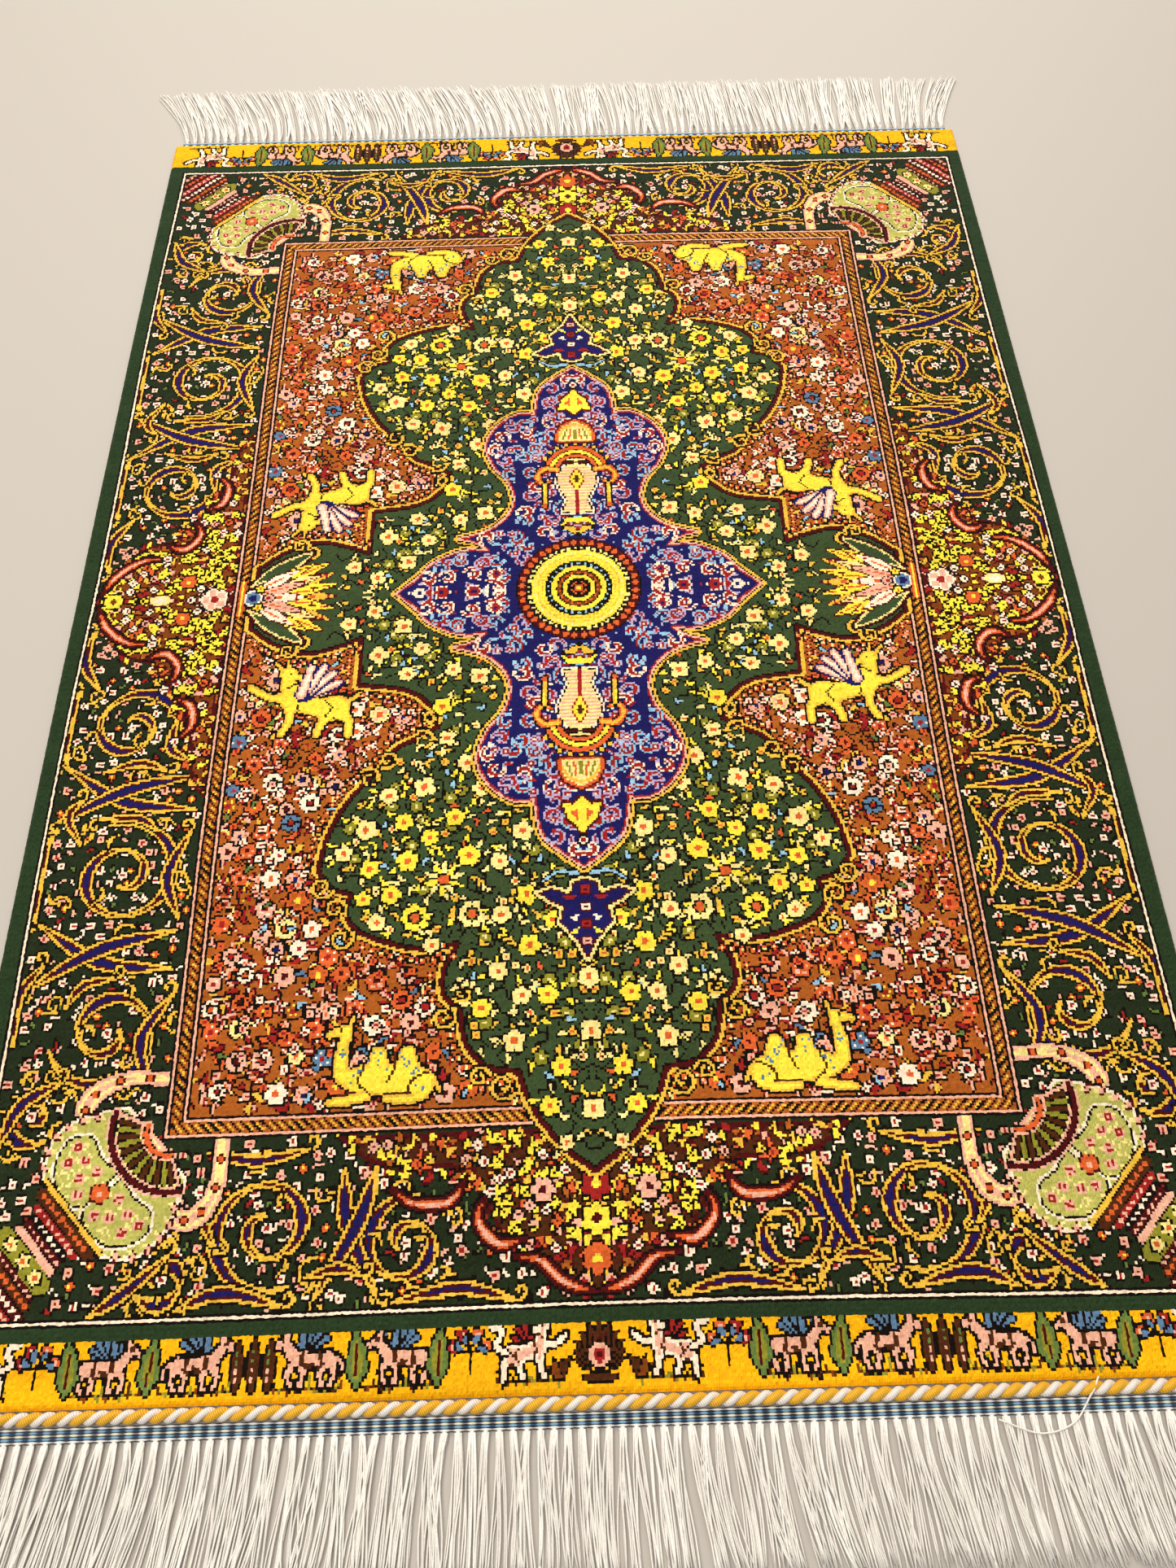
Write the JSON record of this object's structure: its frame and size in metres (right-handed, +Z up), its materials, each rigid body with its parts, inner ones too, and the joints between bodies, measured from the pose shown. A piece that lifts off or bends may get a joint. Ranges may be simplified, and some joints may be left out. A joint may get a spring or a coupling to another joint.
{
  "type": "silk rug",
  "caption": "Small flat knotted silk rug with a lobed green medallion on a rust field, scrolled borders, yellow end bands, a twisted edge cord and white fringes; lies on a floor.",
  "frame": {"origin": "middle of the rug's underside, on the floor", "axes": "+X across the rug, +Y along it from the corded end to the far end, +Z up out of the pile"},
  "size_m": [0.6635, 1.048, 0.0064],
  "materials": {
    "silk_pile": "short knotted silk pile with a soft sheen",
    "cord_silk": "two-ply yellow and white silk cord",
    "fringe_silk": "warm white silk warp ends with a blue and white twined heading"
  },
  "bodies": {
    "root": {"rug_body": "silk_pile", "edge_cord": "cord_silk", "fringe_near": "fringe_silk", "fringe_far": "fringe_silk"}
  },
  "joints": []
}
